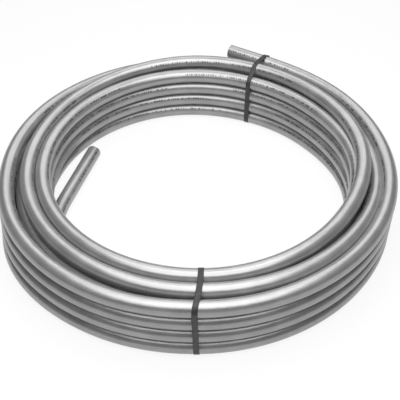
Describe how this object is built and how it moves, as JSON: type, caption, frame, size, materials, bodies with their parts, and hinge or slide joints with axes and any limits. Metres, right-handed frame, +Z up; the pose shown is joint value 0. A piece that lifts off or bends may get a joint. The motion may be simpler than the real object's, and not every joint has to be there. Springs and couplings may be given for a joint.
{
  "type": "multilayer pipe coil",
  "caption": "Coil of round silver-grey multilayer pipe lying flat, with an open eye, free ends and thin dark straps tied round its section.",
  "frame": {"origin": "on the axis of the coil's eye, at the level that the coil lies on, which is the underside of its straps", "axes": "+Z up along the axis of the eye; -Y towards the front strap; the pipe winds anticlockwise seen from above"},
  "size_m": [0.8388, 0.8404, 0.1547],
  "materials": {
    "pipe": "satin silver-grey polyethylene jacket",
    "strap": "dark satin polypropylene band with a rolled relief"
  },
  "bodies": {
    "root": {"pipe_coil": "pipe", "strap_front": "strap", "strap_rear": "strap"}
  },
  "joints": []
}
